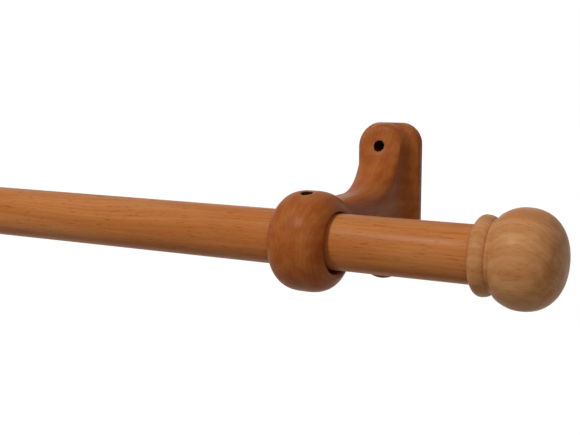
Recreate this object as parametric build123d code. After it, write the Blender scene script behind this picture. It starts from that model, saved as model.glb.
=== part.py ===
# Wooden curtain pole with a finial on each end, carried by two one-piece wall brackets.
# Millimetres. X runs along the pole, +Y points into the wall, +Z is up.
# The origin lies on the wall plane, midway between the brackets, at the height of the pole's axis.
import os
from math import acos, cos, pi, radians, sin, sqrt

from build123d import *

# ---- driving dimensions -------------------------------------------------------------------

POLE_DIAMETER = 28.0
POLE_LENGTH = 1200.0
POLE_PROJECTION = 101.5         # wall plane to the pole's axis
BRACKET_INSET = 85.4            # ring centre to the pole's end

RING_DIAMETER = 50.5            # largest diameter of the ball-shaped ring
RING_HALF_LENGTH = 17.5         # of the full rounded outline, before the bore cuts it
RING_POWER = 3.0                # 2 is an ellipse, more is boxier
RING_DROP = 0.8                 # the ring's centre lies this far below the pole's axis
SEAT_CLEARANCE = 0.3            # between the pole and the top of the bore
BORE_LIP_RADIUS = 2.0

PLATE_WIDTH = 37.8
PLATE_TOP = 53.2                # above the pole's axis
PLATE_BOTTOM = -36.5
PLATE_CORNER_RADIUS = 12.0      # at the wall
PLATE_CORNER_GROWTH = 0.5       # added to it for each millimetre from the wall
PLATE_CORNER_MARGIN = 0.3       # least straight stretch between a rounded corner and the middle
PLATE_SIDE_DEPTH = 4.0          # flat part of the plate's sides, from the wall
PLATE_SIDE_ROUNDING = 3.0       # radius of the edge between each side and its shoulder
PLATE_SHOULDER_TURN = 48.0      # degrees that this edge turns before the shoulder hollows back
PLATE_FOOT_WIDTH = 24.4         # the arm's width at the foot of the shoulders
PLATE_EDGE_START = 11.5         # flat part of the plate's top and bottom, from the wall
PLATE_EDGE_DEPTH = 4.5          # rounded edge between each of them and the front
PLATE_EDGE_DROP = 3.0
PLATE_SWEEP_DEPTH = 16.5        # where the arm's sweeps would meet the plate upright

ARM_TOP = 17.7                  # straight part of the arm, above the pole's axis
ARM_BOTTOM = -15.0
ARM_NECK_WIDTH = 22.8
ARM_TAPER_END = 50.0            # where the arm has narrowed to the neck, from the wall
ARM_CORNER_RADIUS = 8.0
ARM_UPPER_SWEEP = 37.4          # radius of the sweep from the arm up the plate
ARM_LOWER_SWEEP = 22.0          # radius of the sweep from the arm down the plate
ARM_BLEND_RADIUS = 16.0         # of the hollow where the arm swells into the ring
ARM_BLEND_WIDTH = 1.9           # how much wider this makes the arm on each side

WALL_SCREW_HOLE_DIAMETER = 6.0
WALL_SCREW_TOP_MARGIN = 12.4    # upper hole below the plate's top
WALL_SCREW_BOTTOM_MARGIN = 10.5  # lower hole above the plate's bottom

LOCK_TILT = 11.0                # degrees that the lock screw leans away from the wall
LOCK_RECESS_DIAMETER = 6.0
LOCK_RECESS_DEPTH = 3.4
LOCK_SCREW_DIAMETER = 5.0
LOCK_SCREW_ROOT_DIAMETER = 4.2
LOCK_SCREW_LENGTH = 6.0
LOCK_SCREW_PITCH = 1.0
LOCK_SCREW_CLEARANCE = 0.06     # radial, between the screw's ridges and its hole
LOCK_SOCKET_WIDTH = 2.5         # across the flats
LOCK_SOCKET_DEPTH = 2.5
LOCK_TIP_GAP = 0.3              # screw tip to pole, backed off so that the pole can slide

BEAD_DIAMETER = 37.9
BEAD_PEAK = 3.9                 # pole end to the bead's largest diameter
BEAD_BACK_LENGTH = 4.9
BEAD_BACK_RISE = 2.6
BALL_DIAMETER = 46.8
BALL_CENTRE = 22.2              # pole end to the ball's largest diameter
BALL_INNER_LENGTH = 20.2
BALL_OUTER_LENGTH = 19.2
BALL_INNER_POWER = 1.97
BALL_OUTER_POWER = 2.31
GROOVE_PLACE = 8.6              # pole end to the groove between bead and ball
GROOVE_WIDTH = 2.1
GROOVE_RADIUS = 16.8
BALL_START = 11.1               # pole end to the ball's edge over the groove

BOLT_DIAMETER = 6.0
BOLT_WOOD_ROOT_DIAMETER = 4.0
BOLT_WOOD_PITCH = 2.5
BOLT_MACHINE_ROOT_DIAMETER = 4.9
BOLT_MACHINE_PITCH = 1.0
BOLT_IN_POLE = 32.0
BOLT_IN_FINIAL = 16.0
BOLT_SHANK_LENGTH = 3.0         # plain stretch in the pole's mouth
BOLT_POINT_LENGTH = 4.0
BOLT_HOLE_EXTRA = 1.0           # free depth behind the bolt's point
BOLT_RUNNING_CLEARANCE = 0.08   # radial, bolt to insert

INSERT_DIAMETER = 10.0
INSERT_ROOT_DIAMETER = 8.6
INSERT_LENGTH = 14.0
INSERT_PITCH = 2.0
INSERT_FLANGE_DIAMETER = 13.0
INSERT_FLANGE_THICKNESS = 1.4
INSERT_SINK = 0.3               # flange below the finial's seating face
FINIAL_BORE_EXTRA = 4.0         # free depth behind the bolt's end

POLE_END_CHAMFER = 0.5
CURVE_POINTS = 9                # points on each rounded outline
SIDE_STEPS = 4                  # cross-sections along the rounded edge of the plate's sides
SIDE_STEP_GROWTH = 0.65         # each gap over the one before; the curve tightens outwards
SHOULDER_STEPS = 3              # cross-sections from there to the plate's rounded top edge
SHOULDER_STEP_GROWTH = 1.2
EDGE_STEPS = 4                  # cross-sections along its rounded top and bottom edges
EDGE_STEP_GROWTH = 0.75
SWEEP_STEPS = 12                # cross-sections along the arm's sweep
SWEEP_STEP_GROWTH = 1.2
BLEND_STEPS = 6                 # cross-sections where the arm swells into the ring
BLEND_STEP_GROWTH = 0.85
HOLE_OVERRUN = 10.0             # how far a cutter runs past the surface that it opens

# ---- sizes and places that follow ---------------------------------------------------------

POLE_RADIUS = POLE_DIAMETER / 2
RING_RADIUS = RING_DIAMETER / 2
BORE_RADIUS = POLE_RADIUS + RING_DROP + SEAT_CLEARANCE
POLE_END = POLE_LENGTH / 2
BRACKET_X = POLE_END - BRACKET_INSET
PLATE_HALF_WIDTH = PLATE_WIDTH / 2
PLATE_EDGE_END = PLATE_EDGE_START + PLATE_EDGE_DEPTH
FOOT_HALF_WIDTH = PLATE_FOOT_WIDTH / 2
NECK_HALF_WIDTH = ARM_NECK_WIDTH / 2
SHOULDER_NARROWING = 1 - cos(radians(PLATE_SHOULDER_TURN))
SHOULDER_RADIUS = (PLATE_HALF_WIDTH - FOOT_HALF_WIDTH) / SHOULDER_NARROWING - PLATE_SIDE_ROUNDING
SHOULDER_START = PLATE_SIDE_DEPTH + PLATE_SIDE_ROUNDING * sin(radians(PLATE_SHOULDER_TURN))
SHOULDER_END = SHOULDER_START + SHOULDER_RADIUS * sin(radians(PLATE_SHOULDER_TURN))
ARM_SWEEP_END = PLATE_SWEEP_DEPTH + ARM_UPPER_SWEEP
UPPER_HOLE_Z = PLATE_TOP - WALL_SCREW_TOP_MARGIN
LOWER_HOLE_Z = PLATE_BOTTOM + WALL_SCREW_BOTTOM_MARGIN
LOCK_MOUTH = RING_RADIUS - RING_DROP * cos(radians(LOCK_TILT))
LOCK_SCREW_TIP = POLE_RADIUS + LOCK_TIP_GAP
FINIAL_BORE_DEPTH = BOLT_IN_FINIAL + FINIAL_BORE_EXTRA


# ---- outlines and placing -----------------------------------------------------------------

def rounded_outline(centre_x, half_length, base, rise, power, start, end):
    """Points of a superellipse between two angles in degrees; 0 is +X and 90 is up."""
    points = []
    for i in range(CURVE_POINTS):
        angle = radians(start + (end - start) * i / (CURVE_POINTS - 1))
        side = 1 if cos(angle) >= 0 else -1
        along = side * abs(cos(angle)) ** (2 / power)
        up = abs(sin(angle)) ** (2 / power)
        points.append((centre_x + half_length * along, base + rise * up))
    return points


def superellipse_height(distance, half_length, rise, power):
    return rise * (1 - abs(distance / half_length) ** power) ** (1 / power)


def superellipse_angle(distance, half_length, power):
    """Angle in degrees at which rounded_outline is this far from its centre."""
    return 180 / pi * acos((abs(distance) / half_length) ** (power / 2))


def ridges(start, end, root, crest, pitch):
    """Zigzag outline of a thread's ridges between two places, as (x, radius) points."""
    count = int((end - start) / pitch)
    step = (end - start) / count
    points = [(start, root)]
    for i in range(count):
        points.append((start + (i + 0.5) * step, crest))
        points.append((start + (i + 1) * step, root))
    return points


def turned(points):
    """Solid turned about the X axis from outline points above it."""
    return revolve(make_face(Polyline(*points, close=True).edges()), Axis.X, 360)


def rod(radius, start, end):
    """Cylinder about the X axis between two places on it."""
    return Pos((start + end) / 2, 0, 0) * Rot(0, 90, 0) * Cylinder(radius, end - start)


def on_pole_axis(shape, x):
    return Pos(x, -POLE_PROJECTION, 0) * shape


# ---- pole ---------------------------------------------------------------------------------

def pole():
    shape = rod(POLE_RADIUS, -POLE_END, POLE_END)
    shape = chamfer(shape.edges().filter_by(GeomType.CIRCLE), POLE_END_CHAMFER)
    hole_end = POLE_END - BOLT_IN_POLE - BOLT_HOLE_EXTRA
    shape -= rod(BOLT_DIAMETER / 2, hole_end, POLE_END)
    shape -= rod(BOLT_DIAMETER / 2, -POLE_END, -hole_end)
    return on_pole_axis(shape, 0)


# ---- bracket: wall plate, arm and ring in one piece of wood --------------------------------

def sweep_rise(depth, radius):
    """How far a sweep has left the straight arm at a depth from the wall."""
    run = min(max(PLATE_SWEEP_DEPTH + radius - depth, 0), radius)
    return radius - sqrt(radius**2 - run**2)


def edge_fall(depth):
    """How far the rounded edge of the plate has fallen at a depth from the wall."""
    run = min(max(depth - PLATE_EDGE_START, 0) / PLATE_EDGE_DEPTH, 1)
    return PLATE_EDGE_DROP * (1 - sqrt(1 - run**2))


def blend_start(height):
    """Depth where the hollow leaves an arm surface at a height from the ring's centre."""
    reach = (RING_RADIUS + ARM_BLEND_RADIUS)**2 - (height + ARM_BLEND_RADIUS)**2
    return POLE_PROJECTION - sqrt(reach)


def blend_end(start):
    """Depth where that hollow meets the ring."""
    return POLE_PROJECTION - (POLE_PROJECTION - start) * RING_RADIUS / (RING_RADIUS + ARM_BLEND_RADIUS)


def blend_rise(depth, start, end):
    run = min(max(depth, start), end) - start
    return ARM_BLEND_RADIUS - sqrt(ARM_BLEND_RADIUS**2 - run**2)


def arm_top(depth):
    start = blend_start(ARM_TOP + RING_DROP)
    sweep = ARM_TOP + sweep_rise(depth, ARM_UPPER_SWEEP) + blend_rise(depth, start, blend_end(start))
    return min(sweep, PLATE_TOP - edge_fall(depth))


def arm_bottom(depth):
    start = blend_start(-ARM_BOTTOM - RING_DROP)
    sweep = ARM_BOTTOM - sweep_rise(depth, ARM_LOWER_SWEEP) - blend_rise(depth, start, blend_end(start))
    return max(sweep, PLATE_BOTTOM + edge_fall(depth))


def taper(depth):
    """1 at the foot of the shoulders, falling to 0 at the arm's neck."""
    return max(ARM_TAPER_END - depth, 0) / (ARM_TAPER_END - SHOULDER_END)


def bracket_half_width(depth):
    """Flat side, rounded edge and hollow shoulder of the plate, then the arm's taper and blend."""
    if depth < SHOULDER_START:
        run = max(depth - PLATE_SIDE_DEPTH, 0)
        return PLATE_HALF_WIDTH - PLATE_SIDE_ROUNDING + sqrt(PLATE_SIDE_ROUNDING**2 - run**2)
    if depth < SHOULDER_END:
        run = SHOULDER_END - depth
        return FOOT_HALF_WIDTH + SHOULDER_RADIUS - sqrt(SHOULDER_RADIUS**2 - run**2)
    end = POLE_PROJECTION - superellipse_height(
        NECK_HALF_WIDTH + ARM_BLEND_WIDTH, RING_HALF_LENGTH, RING_RADIUS, RING_POWER)
    start = end - sqrt(ARM_BLEND_RADIUS**2 - (ARM_BLEND_RADIUS - ARM_BLEND_WIDTH)**2)
    extra = (FOOT_HALF_WIDTH - NECK_HALF_WIDTH) * taper(depth)
    return NECK_HALF_WIDTH + extra + blend_rise(depth, start, end)


def bracket_corner(depth):
    """Radius of the cross-section's corners."""
    if depth < SHOULDER_END:
        widest = bracket_half_width(depth) - PLATE_CORNER_MARGIN
        return min(PLATE_CORNER_RADIUS + PLATE_CORNER_GROWTH * depth, widest)
    foot_corner = FOOT_HALF_WIDTH - PLATE_CORNER_MARGIN
    return ARM_CORNER_RADIUS + (foot_corner - ARM_CORNER_RADIUS) * taper(depth)


def bracket_section(depth):
    """Rounded cross-section of plate or arm at a depth from the wall."""
    top = arm_top(depth)
    bottom = arm_bottom(depth)
    plane = Plane(origin=(0, -depth, (top + bottom) / 2), x_dir=(1, 0, 0), z_dir=(0, -1, 0))
    width = 2 * bracket_half_width(depth)
    return plane * RectangleRounded(width, top - bottom, bracket_corner(depth))


def spaced(start, end, growth, count):
    """Depths after start, up to end; each gap is growth times the one before."""
    total = sum(growth**i for i in range(count))
    return [start + (end - start) * sum(growth**i for i in range(n + 1)) / total
            for n in range(count)]


def plate_and_arm():
    """Plate, shoulders, sweep, neck and blend, from the wall outwards into the ring."""
    lower_blend = blend_start(-ARM_BOTTOM - RING_DROP)
    arm_end = blend_end(blend_start(ARM_TOP + RING_DROP))
    depths = [0, PLATE_SIDE_DEPTH]
    depths += spaced(PLATE_SIDE_DEPTH, SHOULDER_START, SIDE_STEP_GROWTH, SIDE_STEPS)
    depths += spaced(SHOULDER_START, PLATE_EDGE_START, SHOULDER_STEP_GROWTH, SHOULDER_STEPS)
    depths += spaced(PLATE_EDGE_START, PLATE_EDGE_END, EDGE_STEP_GROWTH, EDGE_STEPS)
    depths += spaced(PLATE_EDGE_END, ARM_SWEEP_END, SWEEP_STEP_GROWTH, SWEEP_STEPS)
    depths += spaced(ARM_SWEEP_END, lower_blend, 1, 1)
    depths += spaced(lower_blend, arm_end, BLEND_STEP_GROWTH, BLEND_STEPS)
    return loft([bracket_section(depth) for depth in depths], ruled=True)


def ring():
    """Flattened ball turned about the pole's axis, bored, with rounded lips."""
    lip_radius = BORE_RADIUS + BORE_LIP_RADIUS
    lip_x = superellipse_height(lip_radius, RING_RADIUS, RING_HALF_LENGTH, RING_POWER)
    lip_angle = superellipse_angle(lip_x, RING_HALF_LENGTH, RING_POWER)
    outer = Spline(*rounded_outline(
        0, RING_HALF_LENGTH, 0, RING_RADIUS, RING_POWER, 180 - lip_angle, lip_angle))
    bore_x = lip_x - BORE_LIP_RADIUS / 2
    right_lip = Spline(outer @ 1, (bore_x, BORE_RADIUS), tangents=(outer % 1, (-1, 0)))
    left_lip = Spline((-bore_x, BORE_RADIUS), outer @ 0, tangents=((-1, 0), outer % 0))
    bore = Line((bore_x, BORE_RADIUS), (-bore_x, BORE_RADIUS))
    return revolve(make_face([outer, right_lip, bore, left_lip]), Axis.X, 360)


def wall_screw_hole(height):
    """Cutter through the plate and the sweeps, which stops short of the ring."""
    radius = WALL_SCREW_HOLE_DIAMETER / 2
    reach = PLATE_SWEEP_DEPTH + ARM_LOWER_SWEEP
    return Pos(0, -reach / 2, height) * Rot(90, 0, 0) * Cylinder(radius, reach)


def on_lock_axis(shape):
    """Stand a shape made along +X upright on the pole's axis, leaning away from the wall."""
    return Rot(LOCK_TILT, 0, 0) * Rot(0, -90, 0) * shape


def lock_hole():
    thread = rod(LOCK_SCREW_DIAMETER / 2 + LOCK_SCREW_CLEARANCE, 0, LOCK_MOUTH)
    recess_floor = LOCK_MOUTH - LOCK_RECESS_DEPTH
    recess = rod(LOCK_RECESS_DIAMETER / 2, recess_floor, LOCK_MOUTH + HOLE_OVERRUN)
    return on_lock_axis(thread + recess)


def bracket():
    ring_centre = Pos(0, -POLE_PROJECTION, -RING_DROP)
    shape = plate_and_arm() - ring_centre * rod(BORE_RADIUS, -RING_RADIUS, RING_RADIUS)
    shape += ring_centre * ring()
    shape -= on_pole_axis(lock_hole(), 0)
    shape -= wall_screw_hole(UPPER_HOLE_Z)
    return shape - wall_screw_hole(LOWER_HOLE_Z)


# ---- lock screw ----------------------------------------------------------------------------

def lock_screw():
    """Headless screw with a hexagon socket, standing on the pole's axis."""
    start = LOCK_SCREW_TIP
    end = start + LOCK_SCREW_LENGTH
    outline = [(start, 0)]
    outline += ridges(
        start, end, LOCK_SCREW_ROOT_DIAMETER / 2, LOCK_SCREW_DIAMETER / 2, LOCK_SCREW_PITCH)
    outline += [(end, 0)]
    hexagon = Plane.YZ * RegularPolygon(LOCK_SOCKET_WIDTH / 2, 6, major_radius=False)
    socket = Pos(end - LOCK_SOCKET_DEPTH, 0, 0) * extrude(hexagon, LOCK_SOCKET_DEPTH)
    return on_lock_axis(turned(outline) - socket)


# ---- finial and what is in it; each made with the pole's end at X = 0 ----------------------

def finial():
    """Bead, groove and ball turned in one piece, bored for the insert and the bolt."""
    bead_radius = BEAD_DIAMETER / 2
    ball_radius = BALL_DIAMETER / 2
    back_reach = GROOVE_PLACE - BEAD_PEAK
    bead_front = Spline(*rounded_outline(
        BEAD_PEAK, BEAD_PEAK, POLE_RADIUS, bead_radius - POLE_RADIUS, 2, 180, 90))
    bead_back = Spline(*rounded_outline(
        BEAD_PEAK, BEAD_BACK_LENGTH, bead_radius - BEAD_BACK_RISE, BEAD_BACK_RISE, 2,
        90, superellipse_angle(back_reach, BEAD_BACK_LENGTH, 2)))
    inner_reach = BALL_CENTRE - BALL_START
    inner_start = 180 - superellipse_angle(inner_reach, BALL_INNER_LENGTH, BALL_INNER_POWER)
    ball_inner = Spline(*rounded_outline(
        BALL_CENTRE, BALL_INNER_LENGTH, 0, ball_radius, BALL_INNER_POWER, inner_start, 90))
    ball_outer = Spline(*rounded_outline(
        BALL_CENTRE, BALL_OUTER_LENGTH, 0, ball_radius, BALL_OUTER_POWER, 90, 0))
    floor = Line(bead_back @ 1, (GROOVE_PLACE + GROOVE_WIDTH, GROOVE_RADIUS))
    wall = Line(floor @ 1, ball_inner @ 0)
    base = Line(ball_outer @ 1, (0, 0))
    seat = Line((0, 0), bead_front @ 0)
    outline = [bead_front, bead_back, floor, wall, ball_inner, ball_outer, base, seat]
    shape = revolve(make_face(outline), Axis.X, 360)
    shape -= rod(INSERT_FLANGE_DIAMETER / 2, 0, INSERT_SINK + INSERT_FLANGE_THICKNESS)
    shape -= rod(INSERT_DIAMETER / 2, 0, INSERT_SINK + INSERT_LENGTH)
    return shape - rod(BOLT_DIAMETER / 2 + BOLT_RUNNING_CLEARANCE, 0, FINIAL_BORE_DEPTH)


def threaded_insert():
    flange_end = INSERT_SINK + INSERT_FLANGE_THICKNESS
    end = INSERT_SINK + INSERT_LENGTH
    flange_radius = INSERT_FLANGE_DIAMETER / 2
    outline = [(INSERT_SINK, 0), (INSERT_SINK, flange_radius), (flange_end, flange_radius)]
    outline += ridges(
        flange_end, end, INSERT_ROOT_DIAMETER / 2, INSERT_DIAMETER / 2, INSERT_PITCH)
    outline += [(end, 0)]
    return turned(outline) - rod(BOLT_DIAMETER / 2 + BOLT_RUNNING_CLEARANCE, 0, end)


def hanger_bolt():
    """Wood thread and point in the pole, plain shank at its mouth, machine thread in the finial."""
    crest = BOLT_DIAMETER / 2
    point_end = BOLT_POINT_LENGTH - BOLT_IN_POLE
    outline = [(-BOLT_IN_POLE, 0)]
    outline += ridges(
        point_end, -BOLT_SHANK_LENGTH, BOLT_WOOD_ROOT_DIAMETER / 2, crest, BOLT_WOOD_PITCH)
    outline += [(-BOLT_SHANK_LENGTH, crest), (0, crest)]
    outline += ridges(0, BOLT_IN_FINIAL, BOLT_MACHINE_ROOT_DIAMETER / 2, crest, BOLT_MACHINE_PITCH)
    outline += [(BOLT_IN_FINIAL, 0)]
    return turned(outline)


# ---- the whole object ----------------------------------------------------------------------

def build():
    pair = {
        "bracket": Pos(BRACKET_X, 0, 0) * bracket(),
        "pole_lock_screw": on_pole_axis(lock_screw(), BRACKET_X),
        "finial": on_pole_axis(finial(), POLE_END),
        "threaded_insert": on_pole_axis(threaded_insert(), POLE_END),
        "hanger_bolt": on_pole_axis(hanger_bolt(), POLE_END),
    }
    parts = {"pole": pole()}
    for name, shape in pair.items():
        parts[name + "_right"] = shape
        parts[name + "_left"] = mirror(shape, about=Plane.YZ)
    return parts


os.makedirs("parts", exist_ok=True)
for node, shape in build().items():
    export_step(shape, "parts/" + node + ".step")
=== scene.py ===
# A wooden curtain pole with ball finials in one-piece wall brackets.
# Metres in the scene; the shapes are worked out in millimetres and scaled at the end.
import math

import bmesh
import bpy
import numpy as np
from mathutils import Matrix, Vector


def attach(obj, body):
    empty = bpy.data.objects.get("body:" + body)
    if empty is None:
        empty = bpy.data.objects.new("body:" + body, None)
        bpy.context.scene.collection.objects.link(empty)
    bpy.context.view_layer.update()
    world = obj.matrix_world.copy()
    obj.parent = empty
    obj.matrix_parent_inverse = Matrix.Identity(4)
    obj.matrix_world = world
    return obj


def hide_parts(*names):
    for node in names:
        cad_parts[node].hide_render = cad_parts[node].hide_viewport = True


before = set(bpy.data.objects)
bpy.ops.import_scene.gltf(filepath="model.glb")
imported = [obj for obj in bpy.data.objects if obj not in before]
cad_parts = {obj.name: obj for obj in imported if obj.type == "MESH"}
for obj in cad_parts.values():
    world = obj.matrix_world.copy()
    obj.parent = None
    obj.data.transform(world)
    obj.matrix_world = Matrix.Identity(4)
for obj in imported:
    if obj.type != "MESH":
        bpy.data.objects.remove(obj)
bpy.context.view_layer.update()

# ---- sizes, in millimetres ----------------------------------------------------------------

POLE_RADIUS = 14.0
POLE_END = 600.0                # middle of the pole to its end
PROJECTION = 101.5              # wall plane to the pole's axis
BRACKET_INSET = 85.4            # ring centre to the pole's end
BRACKET_X = POLE_END - BRACKET_INSET

RING_RADIUS = 25.25
RING_HALF_LENGTH = 17.5         # of the full rounded outline, before the bore cuts it
RING_POWER = 3.0                # 2 is an ellipse, more is boxier
RING_DROP = 0.8                 # the ring's centre lies this far below the pole's axis
SEAT_CLEARANCE = 0.3            # between the pole and the top of the bore
BORE_RADIUS = POLE_RADIUS + RING_DROP + SEAT_CLEARANCE
BORE_LIP = 2.8

PLATE_HALF_WIDTH = 18.9
PLATE_TOP = 53.2                # above the pole's axis
PLATE_BOTTOM = -36.5
PLATE_CORNER = 12.0             # radius at the wall
CORNER_GROWTH = 0.5             # added to it for each millimetre from the wall
CORNER_MARGIN = 0.3             # least straight stretch between a corner and the middle
SIDE_DEPTH = 4.0                # flat part of the plate's sides, from the wall
SIDE_ROUNDING = 3.0             # radius of the edge between each side and its shoulder
SHOULDER_TURN = math.radians(48)  # how far this edge turns before the shoulder hollows back
FOOT_HALF_WIDTH = 12.2          # of the arm at the foot of the shoulders
PLATE_EDGE_START = 11.5         # flat part of the plate's top and bottom, from the wall
PLATE_EDGE_DEPTH = 4.5          # rounded edge between each of them and the front
PLATE_EDGE_DROP = 3.0
PLATE_SWEEP_DEPTH = 16.5        # where the arm's sweeps would meet the plate upright
ARM_TOP = 17.7                  # straight part of the arm, above the pole's axis
ARM_BOTTOM = -15.0
NECK_HALF_WIDTH = 11.4
NECK_CORNER = 8.0
TAPER_END = 50.0                # where the arm has narrowed to the neck, from the wall
UPPER_SWEEP = 37.4              # radius of the sweep from the arm up the plate
LOWER_SWEEP = 22.0
ARM_END = 87.7                  # inside the ring
ARM_BLEND = 6.0                 # reach of the soft joint between arm and ring
SOFT_EDGE = 2.0                 # reach of the soft edge between each sweep and the plate's end
BACK_EDGE = 0.8                 # rounding against the wall
SCREW_HOLES = (40.8, -26.0)     # heights of the wall screws
SCREW_HOLE_RADIUS = 3.0
SCREW_HOLE_REACH = 38.5         # from the wall, past the sweeps and short of the ring
HOLE_LIP = 0.5
HOLE_WALL_MARGIN = 0.1

LOCK_TILT = math.radians(11)    # lean of the lock screw away from the wall
LOCK_MOUTH = 24.47              # pole's axis to the mouth of its hole
LOCK_RECESS = 3.4
LOCK_RADIUS = 2.56

BEAD_RADIUS = 18.95
BEAD_PEAK = 3.9                 # pole end to the bead's largest diameter
BEAD_BACK_LENGTH = 4.9
BEAD_BACK_RISE = 2.6
GROOVE_PLACE = 8.6              # pole end to the groove between bead and ball
GROOVE_WIDTH = 2.1
GROOVE_RADIUS = 16.8
BALL_START = 11.1               # pole end to the ball's edge over the groove
BALL_RADIUS = 23.4
BALL_CENTRE = 22.2              # pole end to the ball's largest diameter
BALL_INNER_LENGTH = 20.2
BALL_OUTER_LENGTH = 19.2
BALL_INNER_POWER = 1.97
BALL_OUTER_POWER = 2.31

BOLT_RADIUS = 3.0
BOLT_WOOD_ROOT = 2.0
BOLT_WOOD_PITCH = 2.5
BOLT_MACHINE_ROOT = 2.45
BOLT_MACHINE_PITCH = 1.0
BOLT_IN_POLE = 32.0
BOLT_IN_FINIAL = 16.0
BOLT_SHANK = 3.0                # plain stretch in the pole's mouth
BOLT_POINT = 4.0
BOLT_HOLE_EXTRA = 1.0           # free depth behind the bolt's point
BOLT_CLEARANCE = 0.08           # bolt to insert
FINIAL_BORE_DEPTH = 20.0

INSERT_RADIUS = 5.0
INSERT_ROOT = 4.3
INSERT_PITCH = 2.0
INSERT_LENGTH = 14.0
INSERT_FLANGE_RADIUS = 6.5
INSERT_FLANGE_THICKNESS = 1.4
INSERT_SINK = 0.3               # flange below the finial's seating face
INSERT_END = INSERT_SINK + INSERT_LENGTH
FLANGE_BACK = INSERT_SINK + INSERT_FLANGE_THICKNESS

SCREW_TIP = 14.3                # pole's axis to the lock screw's tip
SCREW_END = 20.3
SCREW_RADIUS = 2.5
SCREW_ROOT = 2.1
SCREW_PITCH = 1.0
SOCKET_WIDTH = 2.5              # across the flats
SOCKET_DEPTH = 2.5

POLE_EDGE = 0.6
GROOVE_ROUNDING = 0.7
BALL_EDGE = 0.6                 # over the groove
SEAT_MIDDLE = 10.0              # a row of points across the finial's seat
SMALL_EDGE = 0.3                # broken edge of a turned or drilled part
FINE_EDGE = 0.2
POINT_RADIUS = 0.05             # of a turned point
POLE_ROW_GAP = 20               # between the rows of points along the pole
BARE_MARGIN = 0.4               # how near a cut face counts as bare wood
FACE_MARGIN = 0.1

GRID = 0.6  # cell size of the bracket's surface
GRID_MARGIN = 1.5               # free space around it
LEAST_GRADIENT = 0.6            # keeps a field's steps small where it is nearly flat
LEAST_SQUARED_SLOPE = 0.09
PER_METRE = 1000                # millimetres


# ---- meshes -------------------------------------------------------------------------------

def new_piece(name, vertices, faces, matrix=None, sharp=math.radians(35)):
    """A smooth-shaded mesh object from points in millimetres."""
    mesh = bpy.data.meshes.new(name)
    mesh.from_pydata([tuple(v) for v in vertices], [], [tuple(f) for f in faces])
    mesh.transform(matrix if matrix else Matrix.Identity(4))
    mesh.transform(Matrix.Scale(1 / PER_METRE, 4))
    mesh.validate()
    bm = bmesh.new()
    bm.from_mesh(mesh)
    bmesh.ops.recalc_face_normals(bm, faces=bm.faces)
    for face in bm.faces:
        face.smooth = True
    for edge in bm.edges:
        edge.smooth = edge.is_manifold and edge.calc_face_angle(math.pi) < sharp
    bm.to_mesh(mesh)
    bm.free()
    obj = bpy.data.objects.new(name, mesh)
    bpy.context.scene.collection.objects.link(obj)
    return obj


def turned(name, rows, matrix, segments=128, tube=False):
    """Closed surface about the X axis. Each row is (x, radius); radius may vary with angle.
    A tube's last row joins its first; otherwise both ends close on the axis."""
    angle = np.arange(segments) * 2 * math.pi / segments
    vertices = []
    for x, radius in rows:
        r = np.broadcast_to(radius(angle) if callable(radius) else radius, segments)
        vertices.extend((x, c, s) for c, s in zip(r * np.cos(angle), r * np.sin(angle)))
    faces = []
    count = len(rows)
    for i in range(count if tube else count - 1):
        for j in range(segments):
            k = (j + 1) % segments
            n = (i + 1) % count
            faces.append((i * segments + j, i * segments + k, n * segments + k, n * segments + j))
    if not tube:
        for start in (0, (len(rows) - 1) * segments):
            centre = len(vertices)
            ring = vertices[start:start + segments]
            vertices.append((sum(v[0] for v in ring) / segments, 0.0, 0.0))
            for j in range(segments):
                faces.append((start + j, start + (j + 1) % segments, centre))
    return new_piece(name, vertices, faces, matrix)


def arc(centre_x, centre_r, half_length, rise, power, start, end, count):
    """Points of a superellipse between two angles in degrees; 0 is +X and 90 is outwards."""
    points = []
    for i in range(count + 1):
        angle = math.radians(start + (end - start) * i / count)
        c, s = math.cos(angle), math.sin(angle)
        points.append((centre_x + half_length * math.copysign(abs(c) ** (2 / power), c),
                       centre_r + rise * math.copysign(abs(s) ** (2 / power), s)))
    return points


def thread_rows(start, end, root, crest, pitch, hand=1, per_turn=14):
    """Rows of a helical thread that runs out at both ends."""
    count = int(round((end - start) / pitch * per_turn))
    rows = []
    for i in range(count + 1):
        x = start + (end - start) * i / count
        fade = min(1.0, (x - start) / (0.7 * pitch), (end - x) / (0.7 * pitch))

        def radius(angle, x=x, fade=fade):
            turn = (x / pitch - hand * angle / (2 * math.pi)) % 1
            ridge = np.clip(1.35 - 3.2 * np.abs(turn - 0.5), 0, 1)
            return root + (crest - root) * ridge * max(fade, 0)
        rows.append((x, radius))
    return rows


# ---- materials ----------------------------------------------------------------------------

# Texture scales, per millimetre along the grain and across it.
STREAKS = (0.010, 0.16, 0.16)
WARP = (0.006, 0.05, 0.05)
FLECKS = (0.17, 1.7, 1.7)
FIBRES = (0.05, 3.6, 3.6)
BLOTCHES = (0.5, 0.5, 0.5)
TURNING_MARKS = (7, 0.8, 0.8)

PITH_SIDEWAYS = 34              # millimetres from the piece's axis to the middle of the tree
PITH_DOWN = -61
BAND_GAP = 2.6                  # millimetres between growth bands
BAND_WANDER = 14                # how far the warp moves them
WAVE_PERIOD = 2 * math.pi / 20  # of Blender's wave texture at scale 1
WOOD_BUMP = 0.00006             # metres
METAL_BUMP = 0.00001


def srgb(red, green, blue):
    """A colour given as it should look, 0 to 255, as linear RGBA."""
    def linear(v):
        v /= 255
        return v / 12.92 if v <= 0.04045 else ((v + 0.055) / 1.055) ** 2.4
    return (linear(red), linear(green), linear(blue), 1.0)


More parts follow.
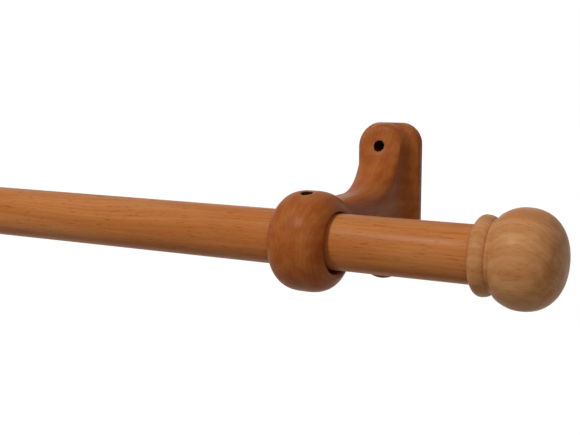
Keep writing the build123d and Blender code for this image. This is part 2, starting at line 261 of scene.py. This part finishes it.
class Nodes:
    """Short names for adding and linking nodes in one material."""

    def __init__(self, name):
        self.material = bpy.data.materials.new(name)
        self.material.use_nodes = True
        self.tree = self.material.node_tree
        self.shader = self.tree.nodes["Principled BSDF"]
        self.coordinates = self.add("ShaderNodeTexCoord").outputs["Object"]

    def add(self, kind, **settings):
        node = self.tree.nodes.new(kind)
        for key, value in settings.items():
            setattr(node, key, value)
        return node

    def link(self, output, socket):
        self.tree.links.new(output, socket)

    def stretched(self, scale, turn=(0, 0, 0), move=(0, 0, 0)):
        """Object coordinates in millimetres, turned so that the grain runs along X, then scaled."""
        turned_node = self.add("ShaderNodeMapping", vector_type="POINT")
        turned_node.inputs["Rotation"].default_value = turn
        self.link(self.coordinates, turned_node.inputs["Vector"])
        node = self.add("ShaderNodeMapping", vector_type="POINT")
        node.inputs["Scale"].default_value = [PER_METRE * v for v in scale]
        node.inputs["Location"].default_value = move
        self.link(turned_node.outputs["Vector"], node.inputs["Vector"])
        return node.outputs["Vector"]

    def noise(self, vector, scale=1.0, detail=2.0, roughness=0.5, distortion=0.0):
        node = self.add("ShaderNodeTexNoise")
        node.inputs["Scale"].default_value = scale
        node.inputs["Detail"].default_value = detail
        node.inputs["Roughness"].default_value = roughness
        node.inputs["Distortion"].default_value = distortion
        self.link(vector, node.inputs["Vector"])
        return node.outputs["Fac"]

    def spread(self, value, low, high, to_low=0.0, to_high=1.0):
        node = self.add("ShaderNodeMapRange", interpolation_type="SMOOTHSTEP")
        for key, number in (("From Min", low), ("From Max", high),
                            ("To Min", to_low), ("To Max", to_high)):
            node.inputs[key].default_value = number
        self.link(value, node.inputs["Value"])
        return node.outputs["Result"]

    def mix(self, factor, one, two, blend="MIX"):
        node = self.add("ShaderNodeMix", data_type="RGBA", blend_type=blend)
        for value, socket in ((factor, node.inputs[0]), (one, node.inputs[6]), (two, node.inputs[7])):
            if isinstance(value, (float, int, tuple)):
                socket.default_value = value
            else:
                self.link(value, socket)
        return node.outputs[2]

    def math(self, operation, one, two):
        node = self.add("ShaderNodeMath", operation=operation)
        for value, socket in ((one, node.inputs[0]), (two, node.inputs[1])):
            if isinstance(value, (float, int)):
                socket.default_value = value
            else:
                self.link(value, socket)
        return node.outputs[0]

    def bump(self, height, distance, strength=1.0):
        node = self.add("ShaderNodeBump")
        node.inputs["Strength"].default_value = strength
        node.inputs["Distance"].default_value = distance
        self.link(height, node.inputs["Height"])
        self.link(node.outputs["Normal"], self.shader.inputs["Normal"])


def wood(name, light, mid, dark, turn=(0, 0, 0), move=(0, 0, 0), lacquer=0.06, gloss=0.05, fleck=0.5):
    """Stained beech: growth bands, long streaks, short dark flecks and fine fibres."""
    n = Nodes(name)
    streaks = n.noise(n.stretched(STREAKS, turn, move), detail=3)
    warp = n.noise(n.stretched(WARP, turn, move), detail=1)
    plain = n.stretched((1, 1, 1), turn, (move[0], move[1] + PITH_SIDEWAYS, move[2] + PITH_DOWN))
    shift = n.add("ShaderNodeVectorMath", operation="MULTIPLY_ADD")
    shift.inputs[1].default_value = (0, BAND_WANDER, BAND_WANDER)
    n.link(warp, shift.inputs[0])
    n.link(plain, shift.inputs[2])
    bands = n.add("ShaderNodeTexWave", wave_type="RINGS", rings_direction="X")
    bands.inputs["Scale"].default_value = WAVE_PERIOD / BAND_GAP
    bands.inputs["Distortion"].default_value = 0.6
    bands.inputs["Detail"].default_value = 2
    bands.inputs["Detail Scale"].default_value = 0.6
    n.link(shift.outputs[0], bands.inputs["Vector"])
    flecks = n.spread(n.noise(n.stretched(FLECKS, turn, move), detail=1), 0.60, 0.74)
    fibres = n.noise(n.stretched(FIBRES, turn, move), detail=2, roughness=0.6)
    colour = n.mix(n.spread(streaks, 0.3, 0.7), light, mid)
    colour = n.mix(n.math("MULTIPLY", bands.outputs["Fac"], 0.12), colour, dark)
    colour = n.mix(n.math("MULTIPLY", flecks, fleck), colour, dark)
    fine = n.spread(fibres, 0.25, 0.75, 0.90, 1.06)
    grey = n.add("ShaderNodeCombineXYZ")
    for socket in grey.inputs:
        n.link(fine, socket)
    colour = n.mix(1.0, colour, grey.outputs[0], "MULTIPLY")
    n.link(colour, n.shader.inputs["Base Color"])
    rough = n.math("ADD", n.spread(streaks, 0.2, 0.8, 0.36, 0.46), n.math("MULTIPLY", flecks, 0.08))
    n.link(rough, n.shader.inputs["Roughness"])
    height = n.math("SUBTRACT", n.math("MULTIPLY", fibres, 0.35), n.math("MULTIPLY", flecks, 0.6))
    n.bump(height, WOOD_BUMP)
    n.shader.inputs["IOR"].default_value = 1.45
    n.shader.inputs["Specular IOR Level"].default_value = gloss
    n.shader.inputs["Coat Weight"].default_value = lacquer
    n.shader.inputs["Coat Roughness"].default_value = 0.28
    return n.material


def metal(name, colour, worn, roughness):
    """Machined metal with faint turning marks and blotches."""
    n = Nodes(name)
    blotches = n.noise(n.stretched(BLOTCHES), detail=4)
    marks = n.noise(n.stretched(TURNING_MARKS), detail=2)
    n.link(n.mix(n.spread(blotches, 0.4, 0.7), colour, worn), n.shader.inputs["Base Color"])
    n.link(n.spread(marks, 0.3, 0.7, roughness - 0.07, roughness + 0.08), n.shader.inputs["Roughness"])
    n.bump(marks, METAL_BUMP)
    n.shader.inputs["Metallic"].default_value = 1.0
    return n.material


pole_wood = wood("pole_wood", srgb(200, 132, 76), srgb(184, 112, 56), srgb(132, 62, 20))
bracket_wood = wood("bracket_wood", srgb(174, 104, 50), srgb(160, 84, 36), srgb(118, 42, 14),
                    turn=(0, 0, -math.pi / 2), move=(3, 7, 1), fleck=0.35)
finial_wood = wood("finial_wood", srgb(206, 152, 102), srgb(188, 128, 78), srgb(138, 76, 30),
                   move=(5, -4, 9), fleck=0.35)
bare_wood = wood("bare_wood", srgb(222, 188, 148), srgb(206, 166, 124), srgb(170, 120, 82), lacquer=0.0)
# Painted shade: a near-black brown for the walls of the bracket's drilled holes, standing in for the shade
# inside them; the bare wood there is pale.
painted_hole_shade = wood("painted_hole_shade", srgb(70, 34, 18), srgb(58, 26, 12), srgb(40, 16, 8),
                    lacquer=0.0, gloss=0.0)
steel = metal("steel", (0.62, 0.62, 0.61, 1), (0.5, 0.5, 0.49, 1), 0.32)
brass = metal("brass", (0.78, 0.58, 0.28, 1), (0.66, 0.45, 0.2, 1), 0.3)
dark_steel = metal("dark_steel", (0.09, 0.085, 0.08, 1), (0.05, 0.045, 0.04, 1), 0.42)


# ---- what each piece stands for -------------------------------------------------------------

def dress(piece, node, body, slot, *materials):
    """Gives a piece its materials, hides the CAD node that it stands in for and puts it on the body that
    carries it.
    """
    for material in materials:
        piece.data.materials.append(material)
    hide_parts(node)
    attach(piece, body)


def second_material(piece, test):
    """Gives the second material to the faces whose centre, in millimetres, passes the test."""
    for polygon in piece.data.polygons:
        x, y, z = polygon.center * PER_METRE
        if test(abs(x), -y, z):
            polygon.material_index = 1


# ---- bracket: one smooth surface, wall plate, arm and ring ---------------------------------

def sweep_rise(depth, radius):
    """How far a sweep of this radius stands off the straight arm, by depth from the wall."""
    run = np.clip(PLATE_SWEEP_DEPTH + radius - depth, 0, radius)
    return radius - np.sqrt(radius**2 - run**2)


def edge_fall(depth):
    """Drop of the plate's rounded top and bottom edges, by depth from the wall."""
    run = np.clip((depth - PLATE_EDGE_START) / PLATE_EDGE_DEPTH, 0, 1)
    return PLATE_EDGE_DROP * (1 - np.sqrt(1 - run**2))


def join_low(a, b, reach):
    """The lower of two values, eased where they meet."""
    near = np.maximum(reach - np.abs(a - b), 0)
    return np.minimum(a, b) - near**2 / (4 * reach)


def cut(a, b, radius):
    """Field a without field b, with a rounded lip."""
    u = np.maximum(radius + a, 0)
    v = np.maximum(radius - b, 0)
    return np.minimum(-radius, np.maximum(a, -b)) + np.sqrt(u**2 + v**2)


def half_width_and_corner(depth):
    """Flat side, rounded edge and hollow shoulder of the plate, then the tapering arm."""
    narrowing = 1 - math.cos(SHOULDER_TURN)
    hollow = (PLATE_HALF_WIDTH - FOOT_HALF_WIDTH) / narrowing - SIDE_ROUNDING
    start = SIDE_DEPTH + SIDE_ROUNDING * math.sin(SHOULDER_TURN)
    end = start + hollow * math.sin(SHOULDER_TURN)
    run = np.clip(depth - SIDE_DEPTH, 0, start - SIDE_DEPTH)
    side = PLATE_HALF_WIDTH - SIDE_ROUNDING + np.sqrt(SIDE_ROUNDING**2 - run**2)
    run = np.clip(end - depth, 0, end - start)
    shoulder = FOOT_HALF_WIDTH + hollow - np.sqrt(hollow**2 - run**2)
    taper = np.clip((TAPER_END - depth) / (TAPER_END - end), 0, 1)
    arm = NECK_HALF_WIDTH + (FOOT_HALF_WIDTH - NECK_HALF_WIDTH) * taper
    half_width = np.where(depth < start, side, np.where(depth < end, shoulder, arm))
    corner = np.minimum(PLATE_CORNER + CORNER_GROWTH * np.maximum(depth, 0), half_width - CORNER_MARGIN)
    arm_corner = NECK_CORNER + (FOOT_HALF_WIDTH - CORNER_MARGIN - NECK_CORNER) * taper
    return half_width, np.where(depth < end, corner, arm_corner)


def arm_section(x, depth, z):
    """Rounded rectangle of the plate or the arm at each depth; below 0 inside it."""
    upper = ARM_TOP + sweep_rise(depth, UPPER_SWEEP)
    lower = ARM_BOTTOM - sweep_rise(depth, LOWER_SWEEP)
    top = join_low(upper, PLATE_TOP - edge_fall(depth), SOFT_EDGE)
    bottom = -join_low(-lower, -PLATE_BOTTOM - edge_fall(depth), SOFT_EDGE)
    half_width, corner = half_width_and_corner(depth)
    qx = np.abs(x) - half_width + corner
    qz = np.abs(z - (top + bottom) / 2) - (top - bottom) / 2 + corner
    outside = np.sqrt(np.maximum(qx, 0) ** 2 + np.maximum(qz, 0) ** 2)
    return outside + np.minimum(np.maximum(qx, qz), 0) - corner


def levelled(field, step=0.05):
    """The field over the size of its gradient, which is close to a distance."""
    def distance(x, depth, z):
        here = field(x, depth, z)
        gx = (field(x + step, depth, z) - field(x - step, depth, z)) / (2 * step)
        gy = (field(x, depth + step, z) - field(x, depth - step, z)) / (2 * step)
        gz = (field(x, depth, z + step) - field(x, depth, z - step)) / (2 * step)
        return here / np.maximum(np.sqrt(gx**2 + gy**2 + gz**2), LEAST_GRADIENT)
    return distance


def ring_shape(x, depth, z):
    """Superellipse turned about the ring's axis; below 0 inside it."""
    radius = np.sqrt((depth - PROJECTION) ** 2 + (z + RING_DROP) ** 2)
    scaled = (np.abs(x) / RING_HALF_LENGTH) ** RING_POWER + (radius / RING_RADIUS) ** RING_POWER
    return (scaled ** (1 / RING_POWER) - 1) * RING_HALF_LENGTH


arm_distance = levelled(arm_section)
ring_distance = levelled(ring_shape)


def bracket_field(x, depth, z):
    """Below 0 inside the wood. x from the ring's centre, depth from the wall, z from the axis."""
    arm = cut(arm_distance(x, depth, z), depth, BACK_EDGE)
    arm = np.maximum(arm, depth - ARM_END)
    wood = join_low(arm, ring_distance(x, depth, z), ARM_BLEND)
    bore = np.sqrt((depth - PROJECTION) ** 2 + (z + RING_DROP) ** 2) - BORE_RADIUS
    wood = cut(wood, bore, BORE_LIP)
    up = z * math.cos(LOCK_TILT) + (depth - PROJECTION) * math.sin(LOCK_TILT)
    side = z * math.sin(LOCK_TILT) - (depth - PROJECTION) * math.cos(LOCK_TILT)
    off_axis = np.sqrt(x**2 + side**2)
    narrow = np.maximum(off_axis - LOCK_RADIUS, -up)
    wide = np.maximum(off_axis - SCREW_HOLE_RADIUS, LOCK_MOUTH - LOCK_RECESS - up)
    wood = np.maximum(wood, -narrow)
    wood = cut(wood, wide, HOLE_LIP)
    for height in SCREW_HOLES:
        hole = np.maximum(np.sqrt(x**2 + (z - height) ** 2) - SCREW_HOLE_RADIUS, depth - SCREW_HOLE_REACH)
        wood = cut(wood, hole, HOLE_LIP)
    return wood


def surface(field, low, high, step):
    """Quads on the zero level of a field: one vertex in each grid cell that it crosses."""
    axes = [np.arange(a, b + step, step) for a, b in zip(low, high)]
    values = field(*np.meshgrid(*axes, indexing="ij"))
    inside = values < 0
    shape = np.array(inside.shape) - 1
    corner_sum = np.zeros(shape, np.int8)
    for dx in (0, 1):
        for dy in (0, 1):
            for dz in (0, 1):
                corner_sum += inside[dx:shape[0] + dx, dy:shape[1] + dy, dz:shape[2] + dz]
    active = (corner_sum > 0) & (corner_sum < 8)
    index = np.full(shape, -1, np.int64)
    index[active] = np.arange(active.sum())
    cells = np.argwhere(active)
    origin = np.array([a[0] for a in axes])
    points = origin + (cells + 0.5) * step
    faces = []
    for axis in range(3):
        one = [slice(None)] * 3
        two = [slice(None)] * 3
        one[axis] = slice(0, -1)
        two[axis] = slice(1, None)
        crossing = inside[tuple(one)] != inside[tuple(two)]
        leaving = inside[tuple(one)]
        b, c = (axis + 1) % 3, (axis + 2) % 3
        for edge in np.argwhere(crossing):
            if edge[b] == 0 or edge[c] == 0 or edge[b] > shape[b] - 1 or edge[c] > shape[c] - 1:
                continue
            ring = []
            for db, dc in ((0, 0), (1, 0), (1, 1), (0, 1)):
                cell = list(edge)
                cell[b] -= 1 - db
                cell[c] -= 1 - dc
                ring.append(index[tuple(cell)])
            faces.append(ring if leaving[tuple(edge)] else ring[::-1])
    faces = np.array(faces)
    return settle(points, faces, field, step), faces


def gradient(field, points, step=0.02):
    """Slope of the field at each point along the three axes."""
    parts = []
    for axis in range(3):
        shift = np.zeros(3)
        shift[axis] = step
        ahead = field(*(points + shift).T)
        behind = field(*(points - shift).T)
        parts.append((ahead - behind) / (2 * step))
    return np.stack(parts, axis=1)


def settle(points, faces, field, step, rounds=6):
    """Moves each vertex onto the surface and evens out their spacing along it."""
    start = points.copy()
    count = len(points)
    edges = np.concatenate([faces[:, [i, (i + 1) % 4]] for i in range(4)])
    weight = np.maximum(np.bincount(edges[:, 0], minlength=count), 1)
    for turn in range(rounds):
        for _ in range(2):
            slope = gradient(field, points)
            size = np.maximum((slope**2).sum(axis=1), LEAST_SQUARED_SLOPE)
            move = slope * (field(*points.T) / size)[:, None]
            points = points - np.clip(move, -step, step)
        if turn == rounds - 1:
            break
        mean = np.stack([np.bincount(edges[:, 0], weights=points[edges[:, 1], k], minlength=count)
                         for k in range(3)], axis=1) / weight[:, None]
        points = points + 0.5 * (mean - points)
    return np.where(np.abs(points - start) < 3 * step, points, start)


def make_bracket():
    low = (-PLATE_HALF_WIDTH - GRID_MARGIN, -GRID_MARGIN, PLATE_BOTTOM - GRID_MARGIN)
    high = (PLATE_HALF_WIDTH + GRID_MARGIN, PROJECTION + RING_RADIUS + GRID_MARGIN,
            PLATE_TOP + GRID_MARGIN)
    return surface(bracket_field, low, high, GRID)


def gets_painted_hole_shade(x, depth, z):
    """Whether a point on the bracket is on the wall of a drilled hole, where the near-black painted shade
    goes.
    """
    x -= BRACKET_X
    wall = SCREW_HOLE_RADIUS + HOLE_WALL_MARGIN
    side = z * math.sin(LOCK_TILT) - (depth - PROJECTION) * math.cos(LOCK_TILT)
    if z > BORE_RADIUS and math.hypot(x, side) < wall:
        return True
    return depth < SCREW_HOLE_REACH and any(math.hypot(x, z - h) < wall for h in SCREW_HOLES)


points, quads = make_bracket()
for side, sign in (("right", 1), ("left", -1)):
    placed = np.stack([sign * (BRACKET_X + points[:, 0]), -points[:, 1], points[:, 2]], axis=1)
    piece = new_piece("bracket_wood_" + side, placed, quads, sharp=math.radians(50))
    dress(piece, "bracket_" + side, "brackets", "bracket_wood", bracket_wood, painted_hole_shade)
    # The walls of the drilled holes get the second material, which is painted shade.
    second_material(piece, gets_painted_hole_shade)


# ---- pole, finials and fittings -------------------------------------------------------------

def on_pole(x, mirrored=False):
    """Matrix from a shape made about X to the pole's axis, with its X = 0 at x."""
    place = Matrix.Translation((x, -PROJECTION, 0))
    return place @ Matrix.Scale(-1, 4, (1, 0, 0)) if mirrored else place


def rounded_corner(before, corner, after, reach, count=4):
    """A corner of an outline replaced by a small curve."""
    corner = Vector(corner)
    start = corner + (Vector(before) - corner).normalized() * reach
    end = corner + (Vector(after) - corner).normalized() * reach
    points = []
    for i in range(count + 1):
        t = i / count
        points.append(tuple(start * (1 - t)**2 + corner * (2 * t * (1 - t)) + end * t**2))
    return points


def pole_rows():
    half = [(POLE_END - BOLT_IN_POLE - BOLT_HOLE_EXTRA, BOLT_RADIUS), (POLE_END - SMALL_EDGE, BOLT_RADIUS),
            (POLE_END, BOLT_RADIUS + SMALL_EDGE)]
    half += rounded_corner((POLE_END, 0), (POLE_END, POLE_RADIUS), (0, POLE_RADIUS), POLE_EDGE)
    half += [(x, POLE_RADIUS) for x in range(int(POLE_END) - POLE_ROW_GAP, 0, -POLE_ROW_GAP)]
    return [(-x, radius) for x, radius in half] + half[::-1]


def finial_rows():
    """From the bottom of the bore out to the seat, over the bead and the groove, round the ball."""
    bore = BOLT_RADIUS + BOLT_CLEARANCE
    rows = [(FINIAL_BORE_DEPTH, bore), (INSERT_END, bore), (INSERT_END, INSERT_RADIUS),
            (FLANGE_BACK, INSERT_RADIUS), (FLANGE_BACK, INSERT_FLANGE_RADIUS),
            (FINE_EDGE, INSERT_FLANGE_RADIUS), (0.0, INSERT_FLANGE_RADIUS + FINE_EDGE),
            (0.0, SEAT_MIDDLE), (0.0, POLE_RADIUS - SMALL_EDGE)]
    rows += arc(BEAD_PEAK, POLE_RADIUS, BEAD_PEAK, BEAD_RADIUS - POLE_RADIUS, 2, 180, 90, 14)
    back_end = math.degrees(math.acos((GROOVE_PLACE - BEAD_PEAK) / BEAD_BACK_LENGTH))
    rows += arc(BEAD_PEAK, BEAD_RADIUS - BEAD_BACK_RISE, BEAD_BACK_LENGTH, BEAD_BACK_RISE,
                2, 90, back_end, 10)[1:]
    inner_share = ((BALL_CENTRE - BALL_START) / BALL_INNER_LENGTH) ** (BALL_INNER_POWER / 2)
    ball_start = 180 - math.degrees(math.acos(inner_share))
    ball = arc(BALL_CENTRE, 0, BALL_INNER_LENGTH, BALL_RADIUS, BALL_INNER_POWER, ball_start, 90, 30)
    ball += arc(BALL_CENTRE, 0, BALL_OUTER_LENGTH, BALL_RADIUS, BALL_OUTER_POWER, 90, 0.6, 48)[1:]
    groove_corner = (GROOVE_PLACE + GROOVE_WIDTH, GROOVE_RADIUS)
    rows += rounded_corner(rows[-1], groove_corner, ball[0], GROOVE_ROUNDING)
    rows += rounded_corner(rows[-1], ball[0], ball[2], BALL_EDGE)
    return rows + ball[2:]


def bolt_rows():
    """From the wood screw's point to the machine screw's end."""
    thread_start = BOLT_POINT - BOLT_IN_POLE
    rows = [(-BOLT_IN_POLE, POINT_RADIUS), (1.0 - BOLT_IN_POLE, 0.9), (thread_start, BOLT_WOOD_ROOT)]
    rows += thread_rows(thread_start, -BOLT_SHANK - FINE_EDGE, BOLT_WOOD_ROOT, BOLT_RADIUS,
                        BOLT_WOOD_PITCH)
    rows += [(-BOLT_SHANK, BOLT_RADIUS), (-SMALL_EDGE, BOLT_RADIUS), (0.0, 2.6)]
    rows += thread_rows(0.1, BOLT_IN_FINIAL - 0.4, BOLT_MACHINE_ROOT, BOLT_RADIUS, BOLT_MACHINE_PITCH)
    return rows + [(BOLT_IN_FINIAL, 2.1)]


def insert_rows():
    """From the bore over the flange and the thread, back to the bore."""
    bore = BOLT_RADIUS + BOLT_CLEARANCE
    rim = INSERT_FLANGE_RADIUS
    rows = [(INSERT_SINK + SMALL_EDGE, bore), (INSERT_SINK, 3.4), (INSERT_SINK, rim - SMALL_EDGE),
            (INSERT_SINK + FINE_EDGE, rim), (FLANGE_BACK - FINE_EDGE, rim),
            (FLANGE_BACK, rim - FINE_EDGE), (FLANGE_BACK, INSERT_ROOT + 0.05)]
    rows += thread_rows(FLANGE_BACK + 0.05, INSERT_END - FINE_EDGE, INSERT_ROOT,
                        INSERT_RADIUS - 0.02, INSERT_PITCH)
    return rows + [(INSERT_END, INSERT_ROOT - 0.1), (INSERT_END, 3.3), (INSERT_END - FINE_EDGE, bore)]


def hexagon(angle):
    """Radius of the hexagon socket at an angle."""
    return SOCKET_WIDTH / 2 / np.cos((angle % (math.pi / 3)) - math.pi / 6)


def lock_screw_rows():
    """From the cup point to the bottom of the hexagon socket."""
    rows = [(SCREW_TIP + 0.6, POINT_RADIUS), (SCREW_TIP, 1.3), (SCREW_TIP + 0.1, 1.6),
            (SCREW_TIP + 0.5, SCREW_ROOT)]
    rows += thread_rows(SCREW_TIP + 0.55, SCREW_END - SMALL_EDGE, SCREW_ROOT, SCREW_RADIUS, SCREW_PITCH)
    bottom = SCREW_END - SOCKET_DEPTH
    return rows + [(SCREW_END, 1.85), (SCREW_END, lambda angle: hexagon(angle) + 0.12),
                   (SCREW_END - 0.1, hexagon), (bottom, hexagon), (bottom - SMALL_EDGE, POINT_RADIUS)]


def pole_bare_face(x, depth, z):
    """Whether a point on the pole is on its sawn end or in its bolt hole."""
    radius = math.hypot(depth - PROJECTION, z)
    on_end = x > POLE_END - BARE_MARGIN and radius < POLE_RADIUS - POLE_EDGE
    return on_end or radius < BOLT_RADIUS + BARE_MARGIN


def finial_bare_face(x, depth, z):
    """Whether a point on a finial is on its seat or in its bore."""
    radius = math.hypot(depth - PROJECTION, z)
    on_seat = x < POLE_END + FACE_MARGIN and radius < POLE_RADIUS - BARE_MARGIN
    in_bore = x < POLE_END + FINIAL_BORE_DEPTH + 1 and radius < INSERT_FLANGE_RADIUS + FACE_MARGIN
    return on_seat or in_bore


pole = turned("pole_turned", pole_rows(), on_pole(0))
dress(pole, "pole", "pole", "pole_wood", pole_wood, bare_wood)
second_material(pole, pole_bare_face)

for side, sign in (("right", 1), ("left", -1)):
    seat = on_pole(sign * POLE_END, sign < 0)
    finial = turned("finial_turned_" + side, finial_rows(), seat)
    dress(finial, "finial_" + side, "finial_" + side, "finial_wood", finial_wood, bare_wood)
    second_material(finial, finial_bare_face)
    bolt = turned("hanger_bolt_threaded_" + side, bolt_rows(), seat, segments=40)
    dress(bolt, "hanger_bolt_" + side, "pole", "steel", steel)
    insert = turned("insert_threaded_" + side, insert_rows(), seat, segments=48, tube=True)
    dress(insert, "threaded_insert_" + side, "finial_" + side, "brass", brass)
    upright = Matrix.Rotation(LOCK_TILT, 4, "X") @ Matrix.Rotation(-math.pi / 2, 4, "Y")
    screw = turned("lock_screw_threaded_" + side, lock_screw_rows(),
                   Matrix.Translation((sign * BRACKET_X, -PROJECTION, 0)) @ upright, segments=48)
    dress(screw, "pole_lock_screw_" + side, "lock_screw_" + side, "dark_steel", dark_steel)


# ---- camera, lights, floor ----------------------------------------------------------------

CAMERA_PLACE = (0.74105, -0.53697, 0.08575)
CAMERA_LENS = 62.07
SENSOR_WIDTH = 36
RIGHT = Vector((0.877166, 0.480187, 0.0))
FORWARD = Vector((-0.474721, 0.867180, -0.150461)).normalized()
UP = RIGHT.cross(FORWARD)
LIT_PLACE = Vector((0.5, -0.1, 0))  # near the visible bracket
SOFT_LIGHT = 0.26               # strength of the world's light where it is brightest
SOFT_WARMTH = (1.0, 0.76, 0.55, 1)
FLOOR_HALF = 12.0
FLOOR_Z = -0.75
FLOOR_GLOW = 0.9


def view_direction(to_right, to_up, to_camera):
    return RIGHT * to_right + UP * to_up - FORWARD * to_camera


def place_camera():
    camera = bpy.data.cameras.new("camera")
    camera.lens = CAMERA_LENS
    camera.sensor_width = SENSOR_WIDTH
    camera_object = bpy.data.objects.new("camera", camera)
    bpy.context.scene.collection.objects.link(camera_object)
    turn = Matrix((RIGHT, UP, -FORWARD)).transposed().to_4x4()
    camera_object.matrix_world = Matrix.Translation(CAMERA_PLACE) @ turn
    bpy.context.scene.camera = camera_object


def softbox(name, direction, distance, size, power):
    """Square area light that faces the visible bracket from a direction."""
    data = bpy.data.lights.new(name, "AREA")
    data.shape = "SQUARE"
    data.size = size
    data.energy = power
    light = bpy.data.objects.new(name, data)
    bpy.context.scene.collection.objects.link(light)
    towards = Vector(direction).normalized()
    light.location = LIT_PLACE + towards * distance
    light.rotation_euler = towards.to_track_quat("Z", "Y").to_euler()


def backdrop_rays(tree):
    """1 for the rays that see the backdrop as it looks: from the camera, a reflection or glass."""
    path = tree.nodes.new("ShaderNodeLightPath")
    shown = path.outputs["Is Camera Ray"]
    for kind in ("Is Glossy Ray", "Is Transmission Ray"):
        either = tree.nodes.new("ShaderNodeMath")
        either.operation = "MAXIMUM"
        tree.links.new(shown, either.inputs[0])
        tree.links.new(path.outputs[kind], either.inputs[1])
        shown = either.outputs[0]
    return shown


def white_backdrop_world():
    """White where it is seen; elsewhere a soft warm light, mostly from above."""
    world = bpy.data.worlds.new("world")
    bpy.context.scene.world = world
    world.use_nodes = True
    tree = world.node_tree
    background = tree.nodes["Background"]
    shown = backdrop_rays(tree)
    facing = tree.nodes.new("ShaderNodeVectorMath")
    facing.operation = "DOT_PRODUCT"
    facing.inputs[1].default_value = view_direction(-0.55, 0.75, 0.35).normalized()
    tree.links.new(tree.nodes.new("ShaderNodeTexCoord").outputs["Generated"], facing.inputs[0])
    soft = tree.nodes.new("ShaderNodeMapRange")
    for key, number in (("From Min", -0.5), ("From Max", 1), ("To Min", 0.0), ("To Max", SOFT_LIGHT)):
        soft.inputs[key].default_value = number
    tree.links.new(facing.outputs["Value"], soft.inputs["Value"])
    level = tree.nodes.new("ShaderNodeMapRange")
    level.inputs["To Max"].default_value = 1.0
    tree.links.new(soft.outputs["Result"], level.inputs["To Min"])
    tree.links.new(shown, level.inputs["Value"])
    tree.links.new(level.outputs["Result"], background.inputs["Strength"])
    colour = tree.nodes.new("ShaderNodeMix")
    colour.data_type = "RGBA"
    colour.inputs[6].default_value = SOFT_WARMTH
    colour.inputs[7].default_value = (1, 1, 1, 1)
    tree.links.new(shown, colour.inputs[0])
    tree.links.new(colour.outputs[2], background.inputs["Color"])


def pale_floor():
    """A plain floor that looks white but still takes the object's shadow."""
    mesh = bpy.data.meshes.new("floor")
    corners = [(-FLOOR_HALF, -FLOOR_HALF), (FLOOR_HALF, -FLOOR_HALF),
               (FLOOR_HALF, FLOOR_HALF), (-FLOOR_HALF, FLOOR_HALF)]
    mesh.from_pydata([(x, y, FLOOR_Z) for x, y in corners], [], [(0, 1, 2, 3)])
    floor = bpy.data.objects.new("floor", mesh)
    bpy.context.scene.collection.objects.link(floor)
    n = Nodes("floor")
    n.shader.inputs["Base Color"].default_value = (0.5, 0.5, 0.5, 1)
    n.shader.inputs["Roughness"].default_value = 0.9
    n.shader.inputs["Emission Color"].default_value = (1, 1, 1, 1)
    n.link(n.math("MULTIPLY", backdrop_rays(n.tree), FLOOR_GLOW), n.shader.inputs["Emission Strength"])
    mesh.materials.append(n.material)


bpy.context.scene.view_settings.view_transform = "Standard"
place_camera()
softbox("key", view_direction(-0.56, 0.66, 0.55), distance=1.6, size=0.30, power=14)
softbox("fill", view_direction(0.05, 0.35, 0.95), distance=1.8, size=0.9, power=6)
white_backdrop_world()
pale_floor()
